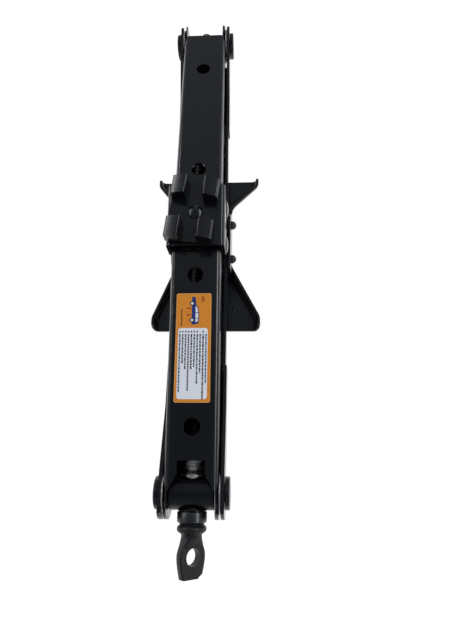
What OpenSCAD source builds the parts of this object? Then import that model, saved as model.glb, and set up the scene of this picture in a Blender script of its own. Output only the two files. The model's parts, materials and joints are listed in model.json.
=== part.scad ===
// Scissor car jack, folded flat: base, four channel arms meshed by gear teeth,
// two trunnions on one lead screw, saddle bracket and a swivelling load cap.
// The screw lies along Y with its crank eye at -Y. The origin is the middle of
// the base plate's underside.

/* [Arms] */
// Distance between the two pivot centres of an arm
arm_len = 185.7; // [165:0.1:205]
// Angle of the arms above level when folded
rest_angle = 4.3; // [4.2:0.1:8]
// Thickness of the arm sheet
arm_sheet = 2.5; // [2:0.1:2.5]
// Height of the web's outer face above the pivot line
web_height = 14.6; // [14:0.1:16]
// Outer half width of an upper arm
upper_half = 18.9; // [18.6:0.1:19]
// Outer half width of a lower arm
lower_half = 22; // [21.9:0.1:22.1]
// Extra half width of a lower arm beside its trunnion
joggle_step = 0.9; // [0.8:0.1:1.2]
// Diameter of the round holes in the webs
web_hole_d = 12; // [8:0.5:14]

/* [Gears] */
// Distance of each gear's centre from the middle of the jack
pivot_half = 16; // [15.5:0.1:17]
// Teeth that a full circle would have
gear_teeth = 10; // [10:1:12]
// Height of a tooth above the pitch circle
addendum = 2.4; // [2:0.1:2.6]
// Depth of a gap below the pitch circle
dedendum = 3.4; // [3:0.1:3.6]
// Arc by which each tooth flank is thinned
flank_play = 0.2; // [0.15:0.05:0.3]

/* [Base] */
// Height of the base pivots above the ground
base_pivot_z = 24; // [23.5:0.1:26]
// Half width across the wings
base_half_w = 46.8; // [44:0.1:55]
// Offset of the wings' middle line from the arms' middle line
base_shift = 2.7; // [0:0.1:3]
// Half length from the middle to the end of a wing
base_half_l = 73.5; // [72:0.1:80]
// Thickness of the base sheet
base_sheet = 2.5; // [2:0.1:2.5]
// Height of the turned-up rim
rim_height = 8; // [6:0.5:10]

/* [Saddle] */
// Height of the saddle top plate above its pivots
saddle_rise = 19.2; // [19:0.1:22]
// Thickness of the saddle sheet
saddle_sheet = 3; // [2.5:0.1:3]
// Half length of the saddle bracket
saddle_half_l = 26; // [25:0.1:28]
// Half width of the load cap
cap_half_w = 17.8; // [16:0.1:20]
// Half length of the load cap
cap_half_l = 25.4; // [24:0.1:28]
// Height of the cap's lands above its floor
land_height = 11; // [6:0.1:12]
// Offset of the load cap's middle from its rivet
cap_shift = -2; // [-3:0.1:0]
// Angle that the cap is turned to when at rest
cap_turn = -6.5; // [-15:0.5:15]

/* [Screw] */
// Outer diameter of the lead screw
screw_d = 12; // [11:0.1:12]
// Pitch of the screw thread
thread_pitch = 3; // [2.5:0.25:4]
// Diameter of the hole in the crank eye
eye_hole_d = 11.3; // [9:0.1:12.5]
// Angle that the eye is turned to about the screw
eye_turn = 41; // [0:1:90]

/* [Hidden] */

$fn = 96;
paint = [0.07, 0.075, 0.08];
steel = [0.72, 0.72, 0.7];
dark_steel = [0.2, 0.19, 0.18];
side_gap = 0.4;
pin_r = 5;
base_stub_r = 3;
saddle_stub_r = 4.2;
run_fit = 0.05;
press_fit = 0.02;

// Places that follow from the driving sizes
trunnion_y = pivot_half + arm_len * cos(rest_angle);
trunnion_z = base_pivot_z + arm_len * sin(rest_angle);
saddle_pivot_z = base_pivot_z + 2 * arm_len * sin(rest_angle);
saddle_top_z = saddle_pivot_z + saddle_rise + saddle_sheet;
cap_floor_z = saddle_top_z + 0.3;
ear_inner = lower_half + side_gap;
ear_outer = ear_inner + base_sheet;
bracket_inner = upper_half + side_gap;
bracket_outer = bracket_inner + saddle_sheet;
screw_r = screw_d / 2;

// Trunnion stack, as distances from the jack's middle plane
stub_r = 6.5;
near_barrel_r = 11.4;
far_barrel_r = 8.6;
spacer_r = 14.4;
barrel_half = upper_half - arm_sheet - 0.3;
trunnion_inner = lower_half + joggle_step - arm_sheet;
disc_r = 11.3;
disc_inner = lower_half + joggle_step + 0.3;
disc_thick = 3.3;
disc_outer = disc_inner + disc_thick;
tail_r = 17.5;
far_tail = 12;

// Screw stack, as distances from the near trunnion's axis towards the eye
face_at = 10.6;
race_out = 11.6;
cup_from = 11.9;
cup_to = 19.9;
cup_r = 10.1;
washer_in = 12.4;
ball_r = 1.1;
ball_ring_r = 7.6;
ball_count = 12;
bead_to = 25.7;
eye_centre = 40.7;
eye_end = 54;
eye_thick = 6.5;
eye_half_w = 10.3;
neck_r = 7.1;

function polar(r, a) = [r * cos(a), r * sin(a)];
function arc(c, r, a0, a1, n) = [for (i = [0 : n]) c + polar(r, a0 + (a1 - a0) * i / n)];

// Extrudes a profile drawn in the YZ plane from x0 to x1
module across(x0, x1) {
    translate([x0, 0, 0]) rotate([90, 0, 90]) linear_extrude(x1 - x0) children();
}

// A pair of such plates, mirrored about the middle plane
module both_sides(x0, x1) {
    across(x0, x1) children();
    across(-x1, -x0) children();
}

// A solid of revolution about the X axis, from an outline of [radius, x]
module turned_x(outline) {
    rotate([0, 90, 0]) rotate_extrude() polygon(outline);
}

// A solid of revolution about the screw, from [radius, distance from the near trunnion]
module on_screw(outline) {
    translate([0, -trunnion_y, trunnion_z]) rotate([90, 0, 0]) rotate_extrude() polygon(outline);
}

// ---- Gear end of an arm ----

pressure_angle = 25;
pitch_r = pivot_half;
tooth_pitch = 360 / gear_teeth;
base_circle_r = pitch_r * cos(pressure_angle);
tip_r = pitch_r + addendum;
root_r = pitch_r - dedendum;

function involute(a) = tan(a) - a * PI / 180;
function pressure_at(r) = acos(min(1, base_circle_r / r));
function tooth_half(r) =
    (PI / (2 * gear_teeth) - flank_play / pitch_r + involute(pressure_angle)
     - involute(pressure_at(r))) * 180 / PI;

module tooth(angle) {
    steps = 6;
    radii = [for (i = [0 : steps]) base_circle_r + (tip_r - base_circle_r) * i / steps];
    foot = root_r - 1;
    rotate(angle) polygon(concat(
        [polar(foot, tooth_half(base_circle_r))],
        [for (r = radii) polar(r, tooth_half(r))],
        [for (i = [steps : -1 : 0]) polar(radii[i], -tooth_half(radii[i]))],
        [polar(foot, -tooth_half(base_circle_r))]));
}

// ---- Arms ----
// Drawn with the trunnion at the origin, the gear pivot at +Y and the web upwards

edge_drop = 3;
tail_drop = 11.5;
web_gap = 9.5;
bend_r = 4;
hole_near_trunnion = 45.4;
hole_near_gear = arm_len - 29.2;

// Everything inside an arm's side outline, right across the jack
module arm_side(first_tooth, tail) {
    reach = 30;
    difference() {
        union() {
            across(-reach, reach) polygon([
                [0, web_height], [arm_len - web_gap, web_height], [arm_len, root_r],
                [arm_len, -root_r], [arm_len - 34, -edge_drop], [60, -edge_drop],
                [14, -tail_drop], [0, -tail_drop]]);
            intersection() {
                across(-reach, reach) circle(tail_r);
                translate([-reach, -tail, -tail_drop])
                    cube([2 * reach, 2 * tail, tail_drop + web_height]);
            }
            translate([0, arm_len, 0]) {
                across(-reach, reach) circle(root_r);
                for (i = [0 : 2]) across(-reach, reach) tooth(first_tooth - i * tooth_pitch);
            }
        }
        across(-reach - 1, reach + 1) circle(stub_r + run_fit);
        translate([0, arm_len, 0]) across(-reach - 1, reach + 1) circle(pin_r + run_fit);
    }
}

// Cross-section of a channel, open downwards, with rounded bends
module channel(half_w) {
    inner_bend = bend_r - arm_sheet;
    wall = half_w - arm_sheet;
    roof = web_height - arm_sheet;
    foot = -web_height - 6;
    difference() {
        polygon(concat([[half_w, foot]],
                       arc([half_w - bend_r, web_height - bend_r], bend_r, 0, 90, 8),
                       arc([bend_r - half_w, web_height - bend_r], bend_r, 90, 180, 8),
                       [[-half_w, foot]]));
        polygon(concat([[wall, foot - 1]],
                       arc([wall - inner_bend, roof - inner_bend], inner_bend, 0, 90, 4),
                       arc([inner_bend - wall, roof - inner_bend], inner_bend, 90, 180, 4),
                       [[-wall, foot - 1]]));
    }
}

module channel_length(half_w, from, to) {
    translate([0, to, 0]) rotate([90, 0, 0]) linear_extrude(to - from) channel(half_w);
}

// Cuts the web away between the flanges, from one distance along the arm to another
module web_cut(half_w, from, to) {
    clear = half_w - arm_sheet + 0.05;
    deep = 9;
    translate([-clear, from, web_height - deep]) cube([2 * clear, to - from, deep + 3]);
}

module web_holes() {
    for (s = [hole_near_trunnion, hole_near_gear])
        translate([0, s, web_height - 8]) cylinder(h = 12, d = web_hole_d);
}

// A channel whose web stops short of the gears and of the trunnion
module trimmed_channel(half_w, from, to, web_start) {
    difference() {
        channel_length(half_w, from, to);
        web_cut(half_w, from - 1, web_start);
        web_cut(half_w, arm_len - web_gap, arm_len + 30);
    }
}

module upper_arm(first_tooth, tail, slotted) {
    web_start = 2.7;
    slot_half = 9.8;
    slot_end = 22.7;
    slot_flare = 13.5;
    difference() {
        intersection() {
            trimmed_channel(upper_half, -tail_r - 1, arm_len + tip_r + 1, web_start);
            arm_side(first_tooth, tail);
        }
        web_holes();
        if (slotted)
            translate([0, 0, web_height - 8]) linear_extrude(12)
                polygon([[-slot_half, slot_end], [slot_half, slot_end],
                         [slot_half, slot_flare], [upper_half - arm_sheet - 0.1, web_start],
                         [upper_half - arm_sheet - 0.1, 0], [arm_sheet + 0.1 - upper_half, 0],
                         [arm_sheet + 0.1 - upper_half, web_start], [-slot_half, slot_flare]]);
    }
}

// Relief slots in its web let the upper arm's tails swing through
module lower_arm(first_tooth, tail) {
    web_start = 6;
    relief_from = upper_half - arm_sheet - 0.35;
    relief_to = lower_half + joggle_step - arm_sheet + 0.05;
    relief_end = 13.3;
    joggle_from = 88;
    joggle_run = 4;
    difference() {
        intersection() {
            union() {
                trimmed_channel(lower_half, joggle_from, arm_len + tip_r + 1, web_start);
                trimmed_channel(lower_half + joggle_step, -tail_r - 1, joggle_from + joggle_run,
                                web_start);
            }
            arm_side(first_tooth, tail);
        }
        web_holes();
        for (m = [0, 1]) mirror([m, 0, 0])
            translate([relief_from, 0, web_height - 9])
                cube([relief_to - relief_from, relief_end, 12]);
    }
}

// side is -1 for near and 1 for far, level is 1 for upper and -1 for lower
module place_arm(side, level) {
    translate([0, side * trunnion_y, trunnion_z])
        mirror([0, side > 0 ? 1 : 0, 0])
            mirror([0, 0, level < 0 ? 1 : 0])
                rotate([rest_angle, 0, 0]) children();
}

near_tooth = -rest_angle;
far_tooth = -rest_angle + tooth_pitch / 2;

module near_upper_arm() {
    color(paint) place_arm(-1, 1) upper_arm(near_tooth, tail_r, true);
}

module far_upper_arm() {
    color(paint) place_arm(1, 1) upper_arm(far_tooth, far_tail, false);
}

module near_lower_arm() {
    color(paint) place_arm(-1, -1) lower_arm(near_tooth, tail_r);
}

module far_lower_arm() {
    color(paint) place_arm(1, -1) lower_arm(far_tooth, far_tail);
}

label_from = 61.8;
label_to = 141.8;
label_half = 13;

module info_label() {
    color("darkorange") place_arm(-1, 1)
        translate([-label_half - 0.5, label_from, web_height])
            cube([2 * label_half, label_to - label_from, 0.3]);
}

// ---- Base ----
// Two wings and a waist of one sheet. A rim is turned up along the wings' slanted
// sides and their ends' short sides, and the ears stand up beside the waist

near_root_y = -15;
near_drop = 49.6;
near_corner_r = 11;
near_end_r = 4.5;
far_root_y = 42;
far_drop = 27;
far_corner_r = 7;
far_end_r = 1.5;
ear_half = 26;
ear_top_r = 10;
ear_inset = 0.03;

// Angle from Y of a wing's slanted side: it leaves the ear and is tangent to a corner of
// radius r that lies drop further along Y
function wing_slope(half_w, drop, r) =
    let (over = half_w - ear_outer - r)
    atan2(over, drop) + asin(r / norm([over, drop]));

// The +X edge of a wing that points to -Y, moved inwards, down to the line y = end_y
function wing_edge(half_w, root_y, drop, r, end_r, inwards, end_y) =
    let (slope = wing_slope(half_w, drop, r))
    concat([[ear_outer - inwards, root_y - inwards * tan(slope / 2)]],
           arc([half_w - r, root_y - drop], r - inwards, slope, 0, 8),
           arc([half_w - inwards - end_r, end_y + end_r], end_r, 0, -90, 5));

// One side of the base, from the far end to the near end
function base_side(half_w, inwards, end_y) =
    let (near = wing_edge(half_w, near_root_y, near_drop, near_corner_r, near_end_r, inwards, -end_y),
         far = wing_edge(half_w, -far_root_y, far_drop, far_corner_r, far_end_r, inwards, -end_y))
    concat([for (i = [len(far) - 1 : -1 : 0]) [far[i].x, -far[i].y]], near);

module base_outline(inwards, end_y) {
    right = base_side(base_half_w + base_shift, inwards, end_y);
    left = base_side(base_half_w - base_shift, inwards, end_y);
    polygon(concat(right, [for (i = [len(left) - 1 : -1 : 0]) [-left[i].x, left[i].y]]));
}

module base_pan() {
    difference() {
        linear_extrude(rim_height) base_outline(0, base_half_l);
        translate([0, 0, base_sheet])
            linear_extrude(rim_height) base_outline(base_sheet, base_half_l + 5);
    }
}

// The upright ears that carry the base pins
module base_ears() {
    for (y = [-pivot_half, pivot_half])
        both_sides(ear_inner + ear_inset, ear_outer - ear_inset)
            translate([y, base_pivot_z]) circle(ear_top_r);
    both_sides(ear_inner + ear_inset, ear_outer - ear_inset) polygon([
        [-ear_half, 1], [-ear_half, base_pivot_z],
        [-pivot_half, base_pivot_z + ear_top_r], [pivot_half, base_pivot_z + ear_top_r],
        [ear_half, base_pivot_z], [ear_half + 10, rim_height - 1], [ear_half + 10, 1]]);
}

module grip_dimples() {
    for (x = [-1, 1], i = [0, 1])
        translate([base_shift + x * (24 + 4.5 * i), -54 - 3 * i, base_sheet - 0.2])
            cylinder(h = 1.4, r1 = 2, r2 = 0.8);
}

module base_plate() {
    color(paint) difference() {
        union() {
            base_pan();
            base_ears();
            grip_dimples();
        }
        for (y = [-pivot_half, pivot_half])
            across(-ear_outer - 1, ear_outer + 1) translate([y, base_pivot_z])
                circle(base_stub_r + press_fit);
    }
}

// ---- Pins and rivets ----

// Outline of a domed head from its top on the axis down to its rim, as [radius, height]
function dome(base, edge, r, h) =
    let (ball = (r * r + h * h) / (2 * h), low = asin((ball - h) / ball))
    arc([0, base + edge + h - ball], ball, 90, low, 6);

// A shouldered pin across the jack, riveted over into a domed head at each end
module headed_pin(shoulder, outer, stub_r, head_r, right_h, left_h) {
    function half(h) = concat(dome(outer, h / 3, head_r, h * 2 / 3),
        [[head_r, outer], [stub_r, outer], [stub_r, shoulder], [pin_r, shoulder]]);
    left = half(left_h);
    turned_x(concat(half(right_h),
                    [for (i = [len(left) - 1 : -1 : 0]) [left[i].x, -left[i].y]]));
}

module base_pin(side) {
    color(paint) translate([0, side * pivot_half, base_pivot_z])
        headed_pin(ear_inner, ear_outer, base_stub_r, 3.7, 4.6, 1.2);
}

module near_base_pin() {
    base_pin(-1);
}

module far_base_pin() {
    base_pin(1);
}

module saddle_pin(side) {
    color(paint) translate([0, side * pivot_half, saddle_pivot_z])
        headed_pin(bracket_inner, bracket_outer, saddle_stub_r, 6.6, 1.6, 1.6);
}

module near_saddle_pin() {
    saddle_pin(-1);
}

module far_saddle_pin() {
    saddle_pin(1);
}

// ---- Trunnions ----

// Barrel across the jack with a stub at each end for the arms
module trunnion_barrel(barrel_r, chamfer) {
    half = [[0, disc_outer], [stub_r, disc_outer], [stub_r, barrel_half],
            [barrel_r - chamfer, barrel_half], [barrel_r, barrel_half - chamfer]];
    turned_x(concat(half, [for (i = [4 : -1 : 0]) [half[i].x, -half[i].y]]));
}

module along_screw(r, y_from, y_to) {
    translate([0, y_to, 0]) rotate([90, 0, 0]) cylinder(h = y_to - y_from, r = r);
}

module near_trunnion() {
    spot_r = 10.2;
    color(paint) translate([0, -trunnion_y, trunnion_z]) difference() {
        trunnion_barrel(near_barrel_r, 0.8);
        along_screw(screw_r + 0.08, -40, 40);
        along_screw(spot_r, -20, -face_at);
        along_screw(spot_r, face_at, 20);
    }
}

module far_trunnion_nut() {
    color(paint) translate([0, trunnion_y, trunnion_z]) difference() {
        union() {
            trunnion_barrel(far_barrel_r, 0.8);
            along_screw(8.4, -12, 0);
        }
        along_screw(screw_r + 0.08, -40, 40);
    }
}

// Washer-like head on a trunnion stub, at side -1 or 1 across the jack
module disc(y, side) {
    edge = 0.7;
    color(paint) translate([0, y, trunnion_z]) mirror([side < 0 ? 1 : 0, 0, 0])
        turned_x([[stub_r + press_fit, disc_inner], [disc_r, disc_inner],
                  [disc_r, disc_outer - edge], [disc_r - edge, disc_outer],
                  [stub_r + press_fit, disc_outer]]);
}

module near_left_disc() {
    disc(-trunnion_y, -1);
}

module near_right_disc() {
    disc(-trunnion_y, 1);
}

module far_left_disc() {
    disc(trunnion_y, -1);
}

module far_right_disc() {
    disc(trunnion_y, 1);
}

// Spacers on the stubs, between the upper arm's flanges and the lower arm's
module spacer_washers(y) {
    gap = (trunnion_inner - upper_half) / 5;
    color(steel) translate([0, y, trunnion_z])
        for (m = [0, 1]) mirror([m, 0, 0])
            turned_x([[stub_r + 0.1, upper_half + gap], [spacer_r, upper_half + gap],
                      [spacer_r, trunnion_inner - gap],
                      [stub_r + 0.1, trunnion_inner - gap]]);
}

module near_spacer_washers() {
    spacer_washers(-trunnion_y);
}

module far_spacer_washers() {
    spacer_washers(trunnion_y);
}

// ---- Lead screw and its bearing ----

screw_tip = 14;
tip_len = 9;
plain_r = 4;
stop_pin_y = trunnion_y + screw_tip - 3.2;
stop_pin_r = 1.2;
thread_depth = 1.2;

module lead_screw() {
    plain_end = 24;
    screw_len = 2 * trunnion_y + screw_tip;
    start = -17.4;
    turns = floor((screw_len - tip_len - 1 + start) / thread_pitch);
    thread = [for (i = [0 : turns - 1], k = [0 : 3])
        let (y = start - (i + [0, 0.15, 0.5, 0.65][k]) * thread_pitch)
        [screw_r - (k == 1 || k == 2 ? thread_depth : 0), y]];
    color(steel) difference() {
        on_screw(concat(
            [[0, plain_end], [screw_r - 0.6, plain_end], [screw_r, plain_end - 0.6]],
            thread,
            [[screw_r, -screw_len + tip_len], [plain_r, -screw_len + tip_len - 1.5],
             [plain_r, -screw_len + 1.4], [plain_r - 1.4, -screw_len], [0, -screw_len]]));
        translate([0, stop_pin_y, trunnion_z])
            cylinder(h = 20, r = stop_pin_r + press_fit, center = true);
    }
}

module crank_eye() {
    taper_from = bead_to + 3.3;
    taper_to = eye_centre - eye_hole_d / 2 - 0.6;
    bead_r = 2.6;
    color(dark_steel) difference() {
        union() {
            on_screw(concat(
                [[0, cup_to + 0.2], [8.6, cup_to + 0.2]],
                arc([cup_r - bead_r, (cup_to + bead_to) / 2 + 0.1], bead_r, -70, 75, 8),
                [[neck_r + 0.2, bead_to], [neck_r, bead_to + 0.8], [neck_r, taper_from],
                 [eye_thick / 2 - 0.3, taper_to], [0, taper_to]]));
            translate([0, -trunnion_y, trunnion_z]) rotate([0, eye_turn, 0])
                translate([0, 0, -eye_thick / 2]) linear_extrude(eye_thick)
                    polygon(eye_outline());
        }
        translate([0, -trunnion_y, trunnion_z]) rotate([0, eye_turn, 0])
            translate([0, -eye_centre, -20]) cylinder(h = 40, d = eye_hole_d);
        on_screw([[0, cup_to - 1], [screw_r + press_fit, cup_to - 1],
                  [screw_r + press_fit, 24.2], [0, 24.2]]);
    }
}

// Outline of the flattened eye, in plan, with the screw's axis along Y
function eye_outline() =
    let (waist = neck_r - 1, swell = eye_half_w - waist, top = -bead_to - 1, steps = 8,
         side = concat([for (i = [0 : steps])
                            [waist + swell * (1 - cos(180 * i / steps)) / 2,
                             top - (top + eye_centre) * i / steps]],
                       [[eye_half_w - 0.3, -eye_centre - 3], [eye_half_w - 1.6, 4 - eye_end]]))
    concat(side, [[eye_half_w - 4.4, -eye_end], [2.8 - eye_half_w, -eye_end]],
           [for (i = [len(side) - 1 : -1 : 0]) [-side[i].x, side[i].y]]);

module bearing_cup() {
    chamfer = 1.4;
    cavity_r = 9.35;
    cavity_to = race_out + 2 * ball_r + 0.2;
    color(paint) on_screw([
        [screw_r + press_fit, cavity_to], [cavity_r, cavity_to], [cavity_r, cup_from],
        [cup_r, cup_from], [cup_r + 0.3, cup_from + 0.8], [cup_r + 0.3, cup_to - chamfer],
        [cup_r - chamfer, cup_to], [screw_r + press_fit, cup_to]]);
}

module thrust_race() {
    race_r = 9.9;
    color(dark_steel) on_screw([[screw_r + 0.3, face_at], [race_r, face_at],
                                [race_r, race_out], [screw_r + 0.3, race_out]]);
}

ball_plane = race_out + 0.1 + ball_r;

module each_ball() {
    translate([0, -trunnion_y - ball_plane, trunnion_z])
        for (i = [0 : ball_count - 1]) rotate([0, i * 360 / ball_count, 0])
            translate([ball_ring_r, 0, 0]) children();
}

module bearing_balls() {
    color(steel) each_ball() sphere(r = ball_r, $fn = 32);
}

module ball_cage() {
    hub_r = screw_r + 0.1;
    rim_r = 9.05;
    half = 0.5;
    color("goldenrod") difference() {
        on_screw([[hub_r, ball_plane - half], [rim_r, ball_plane - half],
                  [rim_r, ball_plane + half], [hub_r, ball_plane + half]]);
        each_ball() translate([0, 2, 0]) rotate([90, 0, 0]) cylinder(h = 4, r = ball_r + 0.08);
    }
}

module inner_thrust_washer() {
    washer_r = 9.5;
    color(steel) on_screw([[screw_r + 0.3, -washer_in], [washer_r, -washer_in],
                           [washer_r, -face_at], [screw_r + 0.3, -face_at]]);
}

module stop_collar() {
    color(steel) on_screw([[screw_r + press_fit, -washer_in - 0.3], [8.6, -washer_in - 0.3],
                           [6.9, -15.2], [6.9, -15.6], [screw_r + press_fit, -15.6]]);
}

module snap_ring() {
    color(steel) on_screw([[screw_r + press_fit, -16], [7, -16], [7, -17],
                           [screw_r + press_fit, -17]]);
}

module end_stop_pin() {
    color(steel) translate([0, stop_pin_y, trunnion_z])
        cylinder(h = 9.4, r = stop_pin_r, center = true);
}

// ---- Saddle and load cap ----

module bracket_sides() {
    ear_r = 8;
    top = saddle_rise + saddle_sheet - 4;
    for (y = [-pivot_half, pivot_half])
        both_sides(bracket_inner, bracket_outer) translate([y, 0]) circle(ear_r);
    both_sides(bracket_inner, bracket_outer) polygon([
        [-pivot_half, -ear_r], [pivot_half, -ear_r], [pivot_half + 6.2, -5],
        [saddle_half_l, 4], [saddle_half_l, top], [-saddle_half_l, top],
        [-saddle_half_l, 4], [-pivot_half - 6.2, -5]]);
}

// Cross-section of the bracket's roof and its two rounded shoulders
module bracket_roof() {
    r = 4;
    inner = r - saddle_sheet;
    high = saddle_rise + saddle_sheet;
    difference() {
        polygon(concat(arc([bracket_outer - r, high - r], r, 0, 90, 8),
                       arc([r - bracket_outer, high - r], r, 90, 180, 8)));
        polygon(concat([[bracket_inner, high - r - 1]],
                       arc([bracket_inner - inner, saddle_rise - inner], inner, 0, 90, 4),
                       arc([inner - bracket_inner, saddle_rise - inner], inner, 90, 180, 4),
                       [[-bracket_inner, high - r - 1]]));
    }
}

module saddle_bracket() {
    color(paint) translate([0, 0, saddle_pivot_z]) difference() {
        union() {
            bracket_sides();
            translate([0, saddle_half_l, 0]) rotate([90, 0, 0])
                linear_extrude(2 * saddle_half_l) bracket_roof();
        }
        for (y = [-pivot_half, pivot_half])
            across(-bracket_outer - 1, bracket_outer + 1) translate([y, 0])
                circle(saddle_stub_r + press_fit);
        translate([0, 0, saddle_rise - 1])
            cylinder(h = saddle_sheet + 2, r = rivet_r + press_fit);
    }
}

rivet_r = 4;
rivet_head_r = 5.6;
cap_sheet = 2.5;
cap_top_z = cap_floor_z + cap_sheet;

module cap_rivet() {
    head_z = cap_top_z + 0.2;
    under_z = saddle_top_z - saddle_sheet;
    color(paint) rotate_extrude() polygon(concat(
        [[0, under_z - 2], [rivet_head_r, under_z - 2], [rivet_head_r + 1, under_z - 1],
         [rivet_head_r + 1, under_z], [rivet_r, under_z], [rivet_r, head_z],
         [rivet_head_r, head_z]],
        [for (i = [6 : -1 : 0]) dome(head_z, 0.6, rivet_head_r, 2.3)[i]]));
}

// Section of a land: it rises from the outer edge towards the middle of the cap
module land_section(wall) {
    low = land_height - 2.6;
    outer = cap_half_w - wall;
    inner = 6.6 + wall;
    r = 1.6 - wall / 2;
    polygon(concat([[inner, 0], [outer, 0]],
                   arc([outer - r, low - wall - r + cap_sheet], r, 0, 76, 6),
                   arc([inner + r, land_height - wall - r + cap_sheet], r, 76, 180, 6)));
}

module land() {
    long = 15.4;
    gap_half = 9.8;
    wall = 2;
    difference() {
        translate([0, gap_half + long, 0]) rotate([90, 0, 0])
            linear_extrude(long) land_section(0);
        translate([0, gap_half + long - wall, -0.01]) rotate([90, 0, 0])
            linear_extrude(long - 2 * wall) land_section(wall);
    }
}

// Floor plate of the cap, with a window under each hollow land
module cap_floor() {
    corner = 3;
    x = cap_half_w - corner;
    y = cap_half_l - corner;
    difference() {
        linear_extrude(cap_sheet) polygon(concat(
            arc([x, y], corner, 0, 90, 6), arc([-x, y], corner, 90, 180, 6),
            arc([-x, -y], corner, 180, 270, 6), arc([x, -y], corner, 270, 360, 6)));
        for (i = [0, 1], j = [0, 1]) mirror([i, 0, 0]) mirror([0, j, 0])
            translate([8.6, 11.8, -1]) cube([cap_half_w - 10.6, 11.4, cap_sheet + 2]);
    }
}

module load_cap() {
    color(paint) rotate([0, 0, cap_turn]) translate([0, 0, cap_floor_z]) difference() {
        translate([cap_shift, 0, 0]) {
            cap_floor();
            for (i = [0, 1], j = [0, 1]) mirror([i, 0, 0]) mirror([0, j, 0]) land();
        }
        translate([0, 0, -1]) cylinder(h = cap_sheet + 2, r = rivet_r + 0.08);
    }
}

base_plate();
near_base_pin();
far_base_pin();
near_lower_arm();
far_lower_arm();
near_upper_arm();
far_upper_arm();
near_trunnion();
near_left_disc();
near_right_disc();
near_spacer_washers();
far_trunnion_nut();
far_left_disc();
far_right_disc();
far_spacer_washers();
saddle_bracket();
near_saddle_pin();
far_saddle_pin();
cap_rivet();
load_cap();
lead_screw();
crank_eye();
bearing_cup();
thrust_race();
bearing_balls();
ball_cage();
inner_thrust_washer();
stop_collar();
snap_ring();
end_stop_pin();
info_label();
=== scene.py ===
"""Looks of the folded scissor jack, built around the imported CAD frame. Metres, +Z up, the screw along Y."""
import json
import math

import bmesh
import bpy
from mathutils import Matrix, Vector

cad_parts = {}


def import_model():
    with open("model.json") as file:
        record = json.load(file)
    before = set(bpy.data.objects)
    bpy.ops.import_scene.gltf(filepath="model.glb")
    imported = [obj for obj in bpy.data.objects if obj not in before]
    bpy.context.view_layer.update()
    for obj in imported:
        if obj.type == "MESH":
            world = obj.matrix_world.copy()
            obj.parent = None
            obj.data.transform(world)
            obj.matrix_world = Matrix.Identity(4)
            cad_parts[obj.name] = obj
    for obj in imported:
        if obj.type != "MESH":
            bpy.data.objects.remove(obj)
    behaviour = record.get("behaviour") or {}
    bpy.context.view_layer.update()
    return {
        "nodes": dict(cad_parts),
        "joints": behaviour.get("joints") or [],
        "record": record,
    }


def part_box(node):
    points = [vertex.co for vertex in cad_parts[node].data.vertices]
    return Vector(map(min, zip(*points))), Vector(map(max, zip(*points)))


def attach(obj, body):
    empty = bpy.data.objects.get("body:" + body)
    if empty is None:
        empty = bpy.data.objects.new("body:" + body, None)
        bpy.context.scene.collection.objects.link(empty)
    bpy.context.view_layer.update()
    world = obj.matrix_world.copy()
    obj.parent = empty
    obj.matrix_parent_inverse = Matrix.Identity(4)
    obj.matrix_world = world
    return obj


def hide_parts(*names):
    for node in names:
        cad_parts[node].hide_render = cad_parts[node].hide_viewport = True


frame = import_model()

MM = 0.001
NODES = frame["nodes"]
JOINTS = {j["name"]: j for j in frame["joints"]}

# ---- Places and sizes taken from the frame ----
NEAR = Vector(JOINTS["near_upper_pivot"]["pos_m"])
SADDLE_PIVOT = Vector(JOINTS["saddle_level"]["pos_m"])
BASE_PIVOT = Vector(JOINTS["lift"]["pos_m"])


def rel(mm_x, mm_y, mm_z):
    return Vector((mm_x * MM, mm_y * MM, mm_z * MM))


# ---- Materials ----
class Shader:
    """A Principled material with a few helpers for procedural detail."""

    def __init__(self, name):
        self.material = bpy.data.materials.new(name)
        self.material.use_nodes = True
        self.tree = self.material.node_tree
        self.bsdf = self.tree.nodes["Principled BSDF"]
        self.coords = self.tree.nodes.new("ShaderNodeTexCoord").outputs["Object"]

    def node(self, kind, **settings):
        made = self.tree.nodes.new(kind)
        for key, value in settings.items():
            setattr(made, key, value)
        return made

    def link(self, out, into):
        self.tree.links.new(out, into)

    def noise(self, scale, detail=3.0, roughness=0.55, stretch=None):
        made = self.node("ShaderNodeTexNoise")
        made.inputs["Scale"].default_value = scale
        made.inputs["Detail"].default_value = detail
        made.inputs["Roughness"].default_value = roughness
        source = self.coords
        if stretch:
            mapping = self.node("ShaderNodeMapping")
            mapping.inputs["Scale"].default_value = stretch
            self.link(self.coords, mapping.inputs["Vector"])
            source = mapping.outputs["Vector"]
        self.link(source, made.inputs["Vector"])
        return made.outputs["Fac"]

    def ramp(self, fac, low, high, start=0.3, end=0.7):
        made = self.node("ShaderNodeValToRGB")
        ends = made.color_ramp.elements
        ends[0].position, ends[1].position = start, end
        ends[0].color = (*low, 1.0) if isinstance(low, tuple) else (low, low, low, 1.0)
        ends[1].color = (*high, 1.0) if isinstance(high, tuple) else (high, high, high, 1.0)
        self.link(fac, made.inputs["Fac"])
        return made.outputs["Color"]

    def mix(self, fac, first, second):
        made = self.node("ShaderNodeMix", data_type="RGBA")
        self.link(fac, made.inputs[0])
        for socket, value in ((made.inputs[6], first), (made.inputs[7], second)):
            if isinstance(value, tuple):
                socket.default_value = (*value, 1.0)
            else:
                self.link(value, socket)
        return made.outputs[2]

    def bump(self, height, strength, distance):
        made = self.node("ShaderNodeBump")
        made.inputs["Strength"].default_value = strength
        made.inputs["Distance"].default_value = distance
        self.link(height, made.inputs["Height"])
        self.link(made.outputs["Normal"], self.bsdf.inputs["Normal"])

    def set(self, **values):
        for key, value in values.items():
            self.bsdf.inputs[key.replace("_", " ")].default_value = value


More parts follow.
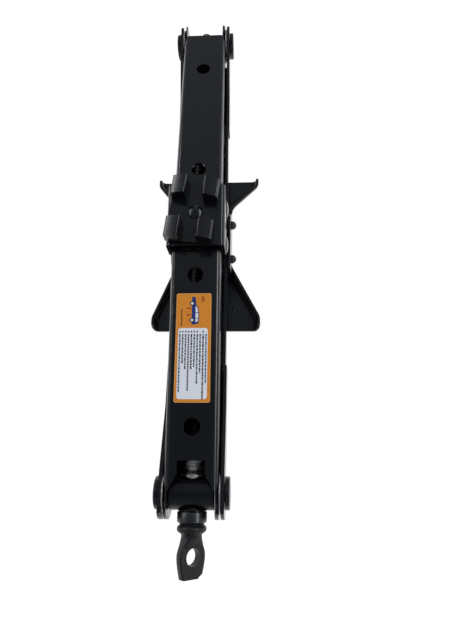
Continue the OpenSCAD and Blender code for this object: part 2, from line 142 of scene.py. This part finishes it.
def gloss_paint(name, tint=(0.0034, 0.0042, 0.0056), lift=1.5, rough=(0.12, 0.23), gloss=0.4):
    """Black stoving paint: slow orange peel, faint dust and rubbed patches."""
    s = Shader(name)
    dust = s.noise(75, 6, 0.65)
    cloud = s.noise(14, 3)
    fresh = s.ramp(cloud, tint, tuple(c * lift for c in tint))
    dusty = tuple(c * 2.2 for c in tint)
    s.link(s.mix(s.ramp(dust, 0.0, 0.45, 0.58, 0.8), fresh, dusty), s.bsdf.inputs["Base Color"])
    s.link(s.ramp(s.noise(90, 5, 0.6), *rough), s.bsdf.inputs["Roughness"])
    s.set(Specular_IOR_Level=gloss, Coat_Weight=0.08, Coat_Roughness=0.06)
    s.bump(s.noise(420, 2, 0.4), 0.04, 0.0004)
    return s.material


def bright_steel(name, tone=0.6, grain=(1, 1, 1)):
    """Bare steel with fine turning marks and faint oil stains."""
    s = Shader(name)
    stain = s.noise(120, 5, 0.6)
    light = (tone, tone * 0.99, tone * 0.96)
    dark = (tone * 0.55, tone * 0.53, tone * 0.5)
    s.link(s.ramp(stain, light, dark, 0.35, 0.75), s.bsdf.inputs["Base Color"])
    s.link(s.ramp(s.noise(300, 4, 0.6, grain), 0.18, 0.42), s.bsdf.inputs["Roughness"])
    s.set(Metallic=1.0)
    s.bump(s.noise(900, 3, 0.5, grain), 0.08, 0.0002)
    return s.material


def dark_forging(name):
    """Phosphated forging: brown-grey scale with a worn cool side and a pitted skin."""
    s = Shader(name)
    patch = s.noise(55, 5, 0.62)
    s.link(s.ramp(patch, (0.0045, 0.0052, 0.0066), (0.012, 0.0105, 0.009), 0.38, 0.66),
           s.bsdf.inputs["Base Color"])
    s.link(s.ramp(s.noise(200, 5, 0.6), 0.38, 0.58), s.bsdf.inputs["Roughness"])
    s.set(Metallic=0.1, Specular_IOR_Level=0.4)
    s.bump(s.noise(520, 5, 0.6), 0.25, 0.0004)
    return s.material


def screw_metal(name, bright_from, bright_until):
    """Rolled thread: bare steel inside the bearing, its colour lightened further there as painted light;
    darker on both sides of it.
    """
    s = Shader(name)
    split = s.node("ShaderNodeSeparateXYZ")
    s.link(s.coords, split.inputs[0])
    offset = s.node("ShaderNodeMath", operation="SUBTRACT")
    offset.inputs[1].default_value = (bright_from + bright_until) / 2
    s.link(split.outputs["Y"], offset.inputs[0])
    distance = s.node("ShaderNodeMath", operation="ABSOLUTE")
    s.link(offset.outputs["Value"], distance.inputs[0])
    half = (bright_until - bright_from) / 2
    along = s.node("ShaderNodeMapRange")
    along.inputs["From Min"].default_value = half - 0.002
    along.inputs["From Max"].default_value = half + 0.003
    s.link(distance.outputs["Value"], along.inputs["Value"])
    stain = s.noise(160, 5, 0.6)
    # Bare steel band, its base colour raised above the steel's own as painted light for the light falling on
    # the screw there.
    bright = s.ramp(stain, (0.95, 0.95, 0.94), (0.62, 0.62, 0.6), 0.4, 0.75)
    # Darker colour for the screw outside the band.
    dark_outside_band = s.ramp(stain, (0.006, 0.0055, 0.005), (0.022, 0.02, 0.018), 0.4, 0.75)
    s.link(s.mix(along.outputs["Result"], bright, dark_outside_band), s.bsdf.inputs["Base Color"])
    s.link(s.ramp(s.noise(300, 4, 0.6, (1, 6, 1)), 0.42, 0.58), s.bsdf.inputs["Roughness"])
    s.set(Metallic=0.4)
    s.bump(s.noise(900, 3, 0.5, (1, 6, 1)), 0.06, 0.0002)
    return s.material


def brass(name):
    s = Shader(name)
    s.link(s.ramp(s.noise(200, 4), (0.62, 0.42, 0.16), (0.4, 0.26, 0.1)), s.bsdf.inputs["Base Color"])
    s.link(s.ramp(s.noise(400, 3), 0.25, 0.45), s.bsdf.inputs["Roughness"])
    s.set(Metallic=1.0)
    s.bump(s.noise(900, 2), 0.05, 0.0002)
    return s.material


def print_ink(name, colour, shade=0.82, rough=(0.3, 0.42)):
    """Printed film: slight ink mottle and a soft satin laminate."""
    s = Shader(name)
    darker = tuple(c * shade for c in colour)
    s.link(s.ramp(s.noise(700, 4, 0.6), colour, darker), s.bsdf.inputs["Base Color"])
    s.link(s.ramp(s.noise(240, 3), rough[0], rough[1]), s.bsdf.inputs["Roughness"])
    s.set(Specular_IOR_Level=0.4)
    s.bump(s.noise(500, 2), 0.03, 0.0002)
    return s.material


PAINT = gloss_paint("black_gloss_paint")
PAINT_CAP = gloss_paint("black_cap_paint", (0.0026, 0.0032, 0.0044), 1.5, (0.17, 0.27), 0.4)
PAINT_BARREL = gloss_paint("black_barrel_paint", (0.0016, 0.002, 0.003), 1.5, (0.22, 0.34), 0.27)
PAINT_CUP = gloss_paint("black_cup_paint", (0.006, 0.0068, 0.0076), 1.5, (0.26, 0.36), 0.6)
STEEL = bright_steel("bearing_bright_steel")
# The screw's light band is bare steel lightened as painted light; the rest of the screw is darker.
SCREW = screw_metal("rolled_thread_steel", NEAR.y - 0.002, NEAR.y + 0.03)
FORGED = dark_forging("phosphated_forging")
BRASS = brass("pressed_brass")
ORANGE = print_ink("label_orange", (0.86, 0.3, 0.03))
ORANGE_EDGE = print_ink("label_orange_edge", (0.86, 0.4, 0.12))
PANEL = print_ink("label_white_panel", (0.9, 0.91, 0.97), 0.96)
BLUE = print_ink("label_blue", (0.022, 0.04, 0.24))
WHITE = print_ink("label_white", (0.85, 0.85, 0.85), 0.95)
BLACK_INK = print_ink("label_black", (0.012, 0.012, 0.016))
RED_INK = print_ink("label_red", (0.26, 0.03, 0.02))
GREY_INK = print_ink("label_grey", (0.06, 0.08, 0.11))
TEAL_INK = print_ink("label_teal", (0.05, 0.14, 0.22))


# ---- Mesh helpers ----
def new_object(name, bm, material, smooth=True):
    mesh = bpy.data.meshes.new(name)
    bmesh.ops.recalc_face_normals(bm, faces=bm.faces[:])
    bm.to_mesh(mesh)
    bm.free()
    made = bpy.data.objects.new(name, mesh)
    bpy.context.scene.collection.objects.link(made)
    materials = material if isinstance(material, (list, tuple)) else [material]
    for m in materials:
        mesh.materials.append(m)
    if smooth:
        mesh.polygons.foreach_set("use_smooth", [True] * len(mesh.polygons))
    return made


def soft_edges(obj, width, segments=2, angle=35):
    """Welds split vertices and rounds the hard edges, keeping flat faces flat."""
    weld = obj.modifiers.new("weld", "WELD")
    weld.merge_threshold = 0.000004
    bevel = obj.modifiers.new("round", "BEVEL")
    bevel.width = width
    bevel.segments = segments
    bevel.limit_method = "ANGLE"
    bevel.angle_limit = math.radians(angle)
    bevel.use_clamp_overlap = True
    bevel.harden_normals = True
    return obj


def grid_faces(bm, rows, closed=False):
    """Joins rows of vertices into quads; closed wraps each row round."""
    for first, second in zip(rows, rows[1:]):
        count = len(first)
        for i in range(count if closed else count - 1):
            k = (i + 1) % count
            bm.faces.new((first[i], first[k], second[k], second[i]))


def turned(bm, outline, axis_point, segments=64):
    """A closed solid of revolution about Y, from (radius, y) pairs in mm relative to axis_point."""
    rings = []
    for radius, y in outline:
        if radius < 1e-6:
            rings.append([bm.verts.new(axis_point + rel(0, y, 0))])
            continue
        ring = []
        for i in range(segments):
            a = 2 * math.pi * i / segments
            ring.append(bm.verts.new(axis_point + rel(radius * math.cos(a), y, radius * math.sin(a))))
        rings.append(ring)
    for first, second in zip(rings, rings[1:]):
        for i in range(segments):
            k = (i + 1) % segments
            if len(first) == 1:
                bm.faces.new((first[0], second[i], second[k]))
            elif len(second) == 1:
                bm.faces.new((first[i], first[k], second[0]))
            else:
                bm.faces.new((first[i], first[k], second[k], second[i]))


def arc(cx, cy, r, a0, a1, n):
    steps = [math.radians(a0 + (a1 - a0) * i / n) for i in range(n + 1)]
    return [(cx + r * math.cos(a), cy + r * math.sin(a)) for a in steps]


def prism_x(bm, outline, x0, x1):
    """A plate between x0 and x1 with a (y, z) outline, all in mm."""
    ends = [[bm.verts.new(rel(x, y, z)) for y, z in outline] for x in (x0, x1)]
    grid_faces(bm, ends, closed=True)
    bm.faces.new(ends[0])
    bm.faces.new(ends[1][::-1])


# ---- CAD nodes that keep their shape ----
FINISH = {
    "black_paint": (PAINT, 0.35), "screw_steel": (SCREW, 0.15), "bearing_steel": (STEEL, 0.2),
    "dark_forged_steel": (FORGED, 0.5), "brass_cage": (BRASS, 0.08), "label_film": (ORANGE, 0.05),
}
SLOT = {s["node"]: s["material_slot"] for s in frame["record"]["subparts"]}
SPECIAL_PAINT = {
    "load_cap": PAINT_CAP, "cap_rivet": PAINT_CAP, "near_trunnion": PAINT_BARREL,
    "far_trunnion_nut": PAINT_BARREL, "thrust_race": PAINT_BARREL, "bearing_cup": PAINT_CUP,
}
REPLACED = {"lead_screw", "crank_eye", "info_label", "base_plate"}

for name, node in NODES.items():
    if name in REPLACED:
        continue
    material, edge = FINISH[SLOT[name]]
    material = SPECIAL_PAINT.get(name, material)
    node.data.materials.clear()
    node.data.materials.append(material)
    if "custom_normal" in node.data.attributes:
        node.data.attributes.remove(node.data.attributes["custom_normal"])
    node.data.polygons.foreach_set("use_smooth", [True] * len(node.data.polygons))
    if name != "bearing_balls":
        soft_edges(node, edge * MM)


# ---- Base plate: one pressed sheet with rolled rims and upright ears ----
def base_plate():
    low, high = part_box("base_plate")
    right_w, left_w, half_l = high.x / MM, -low.x / MM, high.y / MM
    sheet, bend, rim, ear_outer = 2.5, 6.5, 8.0, 24.9
    pivot_half, pivot_z, ear_r, ear_half = -BASE_PIVOT.y / MM, BASE_PIVOT.z / MM, 10.0, 26.0

    def wing(half_w, root_y, drop, r):
        """Outer edge from the root outwards: points and their inward directions, for a wing towards -Y."""
        over = half_w - ear_outer - r
        s = math.atan2(over, drop) + math.asin(r / math.hypot(over, drop))
        cx, cy = half_w - r, root_y - drop
        fillet = 14.0
        reach = fillet * math.tan(s / 2)
        steps = 6
        points = []
        centre = (ear_outer + fillet, root_y + reach)
        for i in range(steps + 1):
            a = s * i / steps
            inward = (-math.cos(a), -math.sin(a))
            points.append(((centre[0] + fillet * inward[0], centre[1] + fillet * inward[1]), inward))
        for i in range(steps * 2 + 1):
            a = s * (1 - i / (steps * 2))
            inward = (-math.cos(a), -math.sin(a))
            points.append(((cx - r * inward[0], cy - r * inward[1]), inward))
        points.append(((half_w, -half_l), (-1.0, 0.0)))
        return points

    def edge(half_w):
        near = wing(half_w, -15, 49.6, 11)
        far = [((x, -y), (nx, -ny)) for (x, y), (nx, ny) in wing(half_w, -42, 27, 7)]
        return far[::-1] + near

    end_r = 4.5

    def end_cut(x, half_w):
        """How far the rounded corner draws the near end back at x."""
        over = max(0.0, x - (half_w - end_r))
        return end_r - math.sqrt(max(0.0, end_r ** 2 - over ** 2))

    def side_points(half_w, point):
        (x, y), (nx, ny) = point
        side = [(x + nx * o, y + ny * o, z) for o, z in profile]
        if y <= -half_l:
            side = [(px, py + end_cut(px, half_w), pz) for px, py, pz in side]
        return side

    profile = [(0, rim), (0, (rim + bend) / 2)]
    profile += [(bend - bend * math.cos(a), bend - bend * math.sin(a))
                for a in (math.radians(90 * i / 8) for i in range(9))]
    columns = 10
    bm = bmesh.new()
    rows = []
    for right_point, left_point in zip(edge(right_w), edge(left_w)):
        right = side_points(right_w, right_point)
        left = [(-px, py, pz) for px, py, pz in side_points(left_w, left_point)]
        first, last = Vector(right[-1]), Vector(left[-1])
        line = right + [tuple(first.lerp(last, i / columns)) for i in range(1, columns)] + left[::-1]
        rows.append([bm.verts.new(rel(*p)) for p in line])
    grid_faces(bm, rows)
    piece = new_object("base_sheet", bm, PAINT)
    normal_up = sum(p.area * p.normal.z for p in piece.data.polygons) > 0
    thick = piece.modifiers.new("sheet", "SOLIDIFY")
    thick.thickness = sheet * MM
    thick.offset = 1.0 if normal_up else -1.0
    thick.use_even_offset = True
    soft_edges(piece, 0.5 * MM, 3, 50)

    bm = bmesh.new()
    outline = [(-ear_half, sheet * 0.6)]
    outline += arc(-pivot_half, pivot_z, ear_r, 180, 90, 8)
    outline += arc(pivot_half, pivot_z, ear_r, 90, 25, 6)
    outline += [(ear_half + 10, bend + 0.5), (ear_half + 10, sheet * 0.6)]
    for side in (-1, 1):
        prism_x(bm, outline, side * (ear_outer - sheet), side * ear_outer)
    ears = new_object("base_ears", bm, PAINT)
    soft_edges(ears, 0.6 * MM, 3, 30)

    bm = bmesh.new()
    shift = (right_w - left_w) / 2
    for side in (-1, 1):
        for from_middle, y, r in ((24, -54, 2.2), (28.5, -57, 1.8)):
            x = from_middle + side * shift
            dome = [(0, 1.5)] + [(r * math.sin(a), sheet - 0.2 + 1.4 * math.cos(a) ** 2)
                                 for a in (math.radians(90 * i / 6) for i in range(7))][1:]
            centre = bm.verts.new(rel(side * x, y, sheet + 1.2))
            rings = [[bm.verts.new(rel(side * x + q * math.cos(t), y + q * math.sin(t), z))
                      for t in (2 * math.pi * k / 20 for k in range(20))] for q, z in dome[1:]]
            for k in range(20):
                bm.faces.new((centre, rings[0][k], rings[0][(k + 1) % 20]))
            grid_faces(bm, rings, closed=True)
            bm.faces.new(rings[-1][::-1])
    bumps = new_object("base_bumps", bm, PAINT)
    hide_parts("base_plate")
    for obj in (piece, ears, bumps):
        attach(obj, "base")


# ---- Lead screw with a helical thread ----
def lead_screw():
    low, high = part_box("lead_screw")
    y0, y1 = low.y / MM, high.y / MM
    x0, z0 = 0.0, NEAR.z / MM
    crest, root, pitch = (high.x - low.x) / 2 / MM, 4.9, 3.0
    thread_from, thread_to, end_r = NEAR.y / MM + 17.2, y1 - 9.5, 4.0
    axis = rel(x0, 0, z0)
    bm = bmesh.new()
    plain = [(0, y0), (crest - 0.6, y0), (crest, y0 + 0.6), (crest, thread_from), (root, thread_from + 0.9),
             (root, thread_to), (end_r, thread_to + 1.2), (end_r, y1 - 1.4), (end_r - 1.4, y1 - 0.1), (0, y1)]
    turned(bm, plain, axis, 48)
    per_turn = 28
    total = int((thread_to - thread_from - 2.5) / pitch * per_turn)
    section = ((root - 0.3, -0.42), (crest, -0.16), (crest, 0.16), (root - 0.3, 0.42))
    rows = []
    for j in range(total + 1):
        a = 2 * math.pi * j / per_turn
        fade = min(1.0, j / per_turn * 1.5, (total - j) / per_turn * 1.5)
        y = thread_from + 1.2 + pitch * j / per_turn
        row = []
        for r, off in section:
            rr = r if r < root else root - 0.1 + (r - root + 0.1) * fade
            row.append(bm.verts.new(axis + rel(rr * math.cos(a), y + off * pitch, rr * math.sin(a))))
        rows.append(row)
    grid_faces(bm, rows, closed=True)
    bm.faces.new(rows[0])
    bm.faces.new(rows[-1][::-1])
    piece = new_object("lead_screw_thread", bm, SCREW)
    piece.modifiers.new("split", "EDGE_SPLIT").split_angle = math.radians(38)
    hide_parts("lead_screw")
    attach(piece, "screw")


# ---- Crank eye: forged from the round, flattened and pierced ----
def crank_eye():
    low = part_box("crank_eye")[0]
    mount = next(m for m in frame["record"]["mounts"] if m["name"] == "crank_eye")
    normal = Vector(mount["axis"]).normalized()
    turn = math.atan2(normal.x, normal.z)
    centre = NEAR.copy()
    tip = (centre.y - low.y) / MM
    hole_at = (centre.y - mount["pos_m"][1]) / MM
    hole_r = mount["dims"]["r_mm"]
    neck_r, half_w, half_t = 7.1, 10.3, 3.25
    start = 25.0

    def ease(t):
        t = max(0.0, min(1.0, t))
        return t * t * (3 - 2 * t)

    def place(across, along, up):
        return centre + Matrix.Rotation(turn, 4, "Y") @ rel(across, -along, up)

    bm = bmesh.new()
    rows = []
    sections, around = 40, 40
    for i in range(sections + 1):
        d = start + (tip - start) * i / sections
        swell = ease((d - 27) / (hole_at - 28))
        taper = max(0.0, (d - hole_at - 1) / (tip - hole_at))
        w = neck_r - 0.9 * ease((d - 26) / 4) + (half_w - neck_r + 0.9) * swell - 2.9 * taper ** 1.3
        flat = ease((d - 26) / 9.5)
        t = neck_r + (half_t - neck_r) * flat
        power = 2 / (2 + 5 * flat)
        row = []
        for k in range(around):
            a = 2 * math.pi * k / around
            c, s = math.cos(a), math.sin(a)
            row.append(bm.verts.new(place(w * math.copysign(abs(c) ** power, c), d,
                                          t * math.copysign(abs(s) ** power, s))))
        rows.append(row)
    grid_faces(bm, rows, closed=True)
    bm.faces.new(rows[0])
    bm.faces.new(rows[-1][::-1])
    cut_normal = place(1, 1.15, 0) - place(0, 0, 0)
    bmesh.ops.bisect_plane(bm, geom=bm.verts[:] + bm.edges[:] + bm.faces[:], dist=1e-6,
                           plane_co=place(half_w - 2.4, tip - 3.6, 0), plane_no=cut_normal, clear_outer=True)
    bmesh.ops.holes_fill(bm, edges=[e for e in bm.edges if e.is_boundary])
    eye = new_object("crank_eye_forging", bm, FORGED)

    drill = bmesh.new()
    rings = [[drill.verts.new(place(hole_r * math.cos(a), hole_at + hole_r * math.sin(a), z))
              for a in (2 * math.pi * k / 48 for k in range(48))] for z in (-12, 12)]
    grid_faces(drill, rings, closed=True)
    drill.faces.new(rings[0])
    drill.faces.new(rings[1][::-1])
    cutter = new_object("cutter", drill, FORGED)
    cut = eye.modifiers.new("hole", "BOOLEAN")
    cut.object = cutter
    cut.solver = "EXACT"
    bake(eye)
    bpy.data.objects.remove(cutter)
    soft_edges(eye, 0.9 * MM, 3, 42)

    bm = bmesh.new()
    outline = [(0, -20.1), (8.4, -20.1)]
    outline += [(7.7 + 2.6 * math.cos(a), -23.1 - 2.6 * math.sin(a))
                for a in (math.radians(-75 + 150 * i / 12) for i in range(13))]
    outline += [(neck_r + 0.7, -25.9), (neck_r - 0.1, -27.5), (0, -27.5)]
    turned(bm, outline, centre, 64)
    bead = new_object("crank_eye_bead", bm, FORGED)
    soft_edges(bead, 0.3 * MM, 2, 40)
    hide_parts("crank_eye")
    for obj in (eye, bead):
        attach(obj, "screw")


def bake(obj):
    """Replaces a piece's mesh by its evaluated one and drops its modifiers."""
    bpy.context.view_layer.update()
    evaluated = obj.evaluated_get(bpy.context.evaluated_depsgraph_get())
    mesh = bpy.data.meshes.new_from_object(evaluated)
    old = obj.data
    obj.modifiers.clear()
    obj.data = mesh
    bpy.data.meshes.remove(old)


# ---- Printed label ----
def label():
    """Orange film with a generic car, marks and rows of bars, on the near upper arm's web."""
    pivot = NEAR
    gear = SADDLE_PIVOT
    along = (gear - pivot).normalized()
    up = Vector((0, -along.z, along.y))
    low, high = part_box("info_label")
    x_low, x_high = low.x / MM, high.x / MM
    web = 14.6
    s_low, s_high = 61.8, 141.8

    def at(x, s, lift):
        return pivot + Vector((x * MM, 0, 0)) + along * (s * MM) + up * ((web + lift) * MM)

    def sheet(name, outline, lift, material, thick=0.04):
        bm = bmesh.new()
        ends = [[bm.verts.new(at(x, s, h)) for x, s in outline] for h in (lift - thick, lift)]
        grid_faces(bm, ends, closed=True)
        bm.faces.new(ends[0][::-1])
        bm.faces.new(ends[1])
        return new_object(name, bm, material, smooth=False)

    def rounded(x0, s0, x1, s1, r):
        return (arc(x1 - r, s1 - r, r, 0, 90, 6) + arc(x0 + r, s1 - r, r, 90, 180, 6)
                + arc(x0 + r, s0 + r, r, 180, 270, 6) + arc(x1 - r, s0 + r, r, 270, 360, 6))

    def many(name, outlines, lift, material):
        bm = bmesh.new()
        for outline in outlines:
            ends = [[bm.verts.new(at(x, s, h)) for x, s in outline] for h in (lift - 0.03, lift)]
            grid_faces(bm, ends, closed=True)
            bm.faces.new(ends[0][::-1])
            bm.faces.new(ends[1])
        return new_object(name, bm, material, smooth=False)

    def bar(x0, s0, x1, s1):
        return [(x0, s0), (x1, s0), (x1, s1), (x0, s1)]

    base = sheet("label_base", rounded(x_low, s_low, x_high, s_high, 1.6), 0.12, ORANGE_EDGE, 0.12)
    field = sheet("label_field", rounded(x_low + 0.6, s_low + 0.6, x_high - 0.6, s_high - 0.6, 1.2),
                  0.15, ORANGE)
    panel = sheet("label_panel", rounded(x_low + 1.9, s_low + 2.4, x_high - 2.3, 115.5, 2.0), 0.19, PANEL)

    car_x, car_s = -1.9, 118.1
    car_long = 21.1
    body = [(0, 0), (0.4, 0), (4.1, 0.4), (5.1, 1.6), (5.4, 4.5), (5.4, 8.6), (4.9, 12.2), (3.2, 15.2),
            (2.8, 19.0), (2.2, car_long), (0.3, car_long), (0, car_long - 0.6)]
    shape = [(car_x + x, car_s + s) for x, s in body]
    car = sheet("label_car", shape, 0.22, BLUE)
    glass = many("label_car_windows", [
        [(car_x + x, car_s + s) for x, s in pane] for pane in (
            [(2.7, 1.8), (4.4, 2.2), (4.8, 4.4), (2.7, 4.4)],
            [(2.7, 5.0), (4.9, 5.0), (4.9, 8.6), (2.7, 8.6)],
            [(2.7, 9.2), (4.8, 9.2), (4.3, 12.1), (3.0, 14.1), (2.7, 13.6)])], 0.25, WHITE)
    rings = many("label_wheel_rings", [arc(car_x + 0.2, car_s + s, 1.75, 0, 345, 23) for s in (3.4, 16.0)],
                 0.25, BLACK_INK)
    hubs = many("label_wheel_hubs", [arc(car_x + 0.2, car_s + s, 1.05, 0, 345, 23) for s in (3.4, 16.0)],
                0.28, WHITE)
    marks = many("label_red_marks", [
        bar(-4.9, 125.0, -2.6, 125.7), bar(-5.4, 124.6, -4.9, 126.1),
        bar(-4.9, 130.1, -2.6, 130.8), bar(-5.4, 129.7, -4.9, 131.2),
        bar(5.2, 135.8, 7.4, 136.7), bar(5.2, 137.4, 7.4, 138.3), bar(5.2, 138.9, 6.6, 139.7)], 0.19, RED_INK)
    side_note = many("label_side_note", [
        bar(-9.8, 117.2 + 1.3 * i, -8.9, 117.2 + 1.3 * i + 0.9) for i in range(10)], 0.19, BLACK_INK)

    # Rows of short bars in place of writing
    panel_left, panel_right = x_low + 3.2, x_high - 3.6
    lines = ((0, TEAL_INK, 35), (1, BLACK_INK, 46), (2, GREY_INK, 28), (3, GREY_INK, 34), (4, GREY_INK, 24),
             (5, BLACK_INK, 26), (6, BLACK_INK, 40), (7, GREY_INK, 25), (8, GREY_INK, 21), (9, TEAL_INK, 40))
    made = []
    step = (panel_right - panel_left) / 9
    for index, ink, length in lines:
        x = panel_right - index * step
        s = 111.0
        bars = []
        seed = index * 3 + 1
        while s > 111.0 - length:
            seed = (seed * 7 + 5) % 17
            word = 0.9 + 0.22 * (seed % 8)
            bars.append(bar(x - 0.55, s - word, x + 0.55, s))
            s -= word + 0.45
        if index not in (0, 2):
            bars.append(bar(x - 0.55, 112.2, x + 0.55, 113.3))
        made.append(many(f"label_line_{index}", bars, 0.22, ink))

    pieces = [base, field, panel, car, glass, rings, hubs, marks, side_note] + made
    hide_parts("info_label")
    for obj in pieces:
        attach(obj, "near_upper_arm")


base_plate()
lead_screw()
crank_eye()
label()


# ---- Floor, light and camera ----
def floor():
    size, cells, drop = 4.0, 8, 0.0002
    bm = bmesh.new()
    rows = [[bm.verts.new((size * (i / cells - 0.5), size * (j / cells - 0.5), -drop))
             for i in range(cells + 1)] for j in range(cells + 1)]
    grid_faces(bm, rows)
    s = Shader("pale_floor")
    s.link(s.ramp(s.noise(3, 2), (0.14, 0.14, 0.14), (0.16, 0.16, 0.16)), s.bsdf.inputs["Base Color"])
    s.link(s.ramp(s.noise(8, 2), 0.8, 0.9), s.bsdf.inputs["Roughness"])
    s.set(Specular_IOR_Level=0.1, Emission_Color=(1, 1, 1, 1), Emission_Strength=0.94)
    new_object("floor_plane", bm, s.material)


def softbox(name, place, aim, size, power, colour=(1, 1, 1)):
    data = bpy.data.lights.new(name, "AREA")
    data.shape = "RECTANGLE"
    data.size, data.size_y = size
    data.energy = power
    data.color = colour
    lamp = bpy.data.objects.new(name, data)
    lamp.location = place
    lamp.rotation_euler = (Vector(aim) - Vector(place)).to_track_quat("-Z", "Y").to_euler()
    bpy.context.scene.collection.objects.link(lamp)


def world():
    """Pale room, darkest where the flat webs mirror the space around the viewer."""
    made = bpy.data.worlds.new("studio")
    bpy.context.scene.world = made
    made.use_nodes = True
    tree = made.node_tree
    back = tree.nodes["Background"]
    coords = tree.nodes.new("ShaderNodeTexCoord")
    facing = tree.nodes.new("ShaderNodeVectorMath")
    facing.operation = "DOT_PRODUCT"
    facing.inputs[1].default_value = Vector((-0.12, -0.2, 0.97)).normalized()
    tree.links.new(coords.outputs["Generated"], facing.inputs[0])
    ramp = tree.nodes.new("ShaderNodeValToRGB")
    stops = ((0.0, 0.42), (0.25, 0.36), (0.5, 0.34), (0.86, 0.34), (0.97, 0.17), (1.0, 0.14))
    while len(ramp.color_ramp.elements) < len(stops):
        ramp.color_ramp.elements.new(0.5)
    for element, (place, level) in zip(ramp.color_ramp.elements, stops):
        element.position = place
        element.color = (level * 0.93, level * 0.98, level * 1.06, 1)
    tree.links.new(facing.outputs["Value"], ramp.inputs["Fac"])
    tree.links.new(ramp.outputs["Color"], back.inputs["Color"])
    back.inputs["Strength"].default_value = 1.0


def camera():
    """Looks steeply down from above the near end, with a slight roll."""
    pitch, yaw, roll = math.radians(72.12), math.radians(-9.11), math.radians(-8.98)
    ahead = Vector((math.sin(yaw) * math.cos(pitch), math.cos(yaw) * math.cos(pitch), -math.sin(pitch)))
    right = Vector((math.cos(yaw), -math.sin(yaw), 0))
    above = right.cross(ahead)
    x_axis = right * math.cos(roll) + above * math.sin(roll)
    y_axis = above * math.cos(roll) - right * math.sin(roll)
    data = bpy.data.cameras.new("camera")
    data.lens = 26.92
    data.sensor_width = 36
    data.sensor_fit = "AUTO"
    data.clip_start = 0.01
    eye = bpy.data.objects.new("camera", data)
    turn = Matrix((x_axis, y_axis, -ahead)).transposed().to_4x4()
    eye.matrix_world = Matrix.Translation((0.04147, -0.17877, 0.38841)) @ turn
    bpy.context.scene.collection.objects.link(eye)
    bpy.context.scene.camera = eye


floor()
world()
softbox("right_box", (0.78, 0.1, 0.72), (0, 0, 0.04), (1.3, 0.12), 5.0, (0.93, 0.97, 1.0))
softbox("left_box", (-0.72, 0.3, 0.55), (0, 0, 0.04), (1.0, 0.1), 3.1, (0.96, 0.98, 1.0))
camera()
bpy.context.scene.view_settings.view_transform = "Standard"
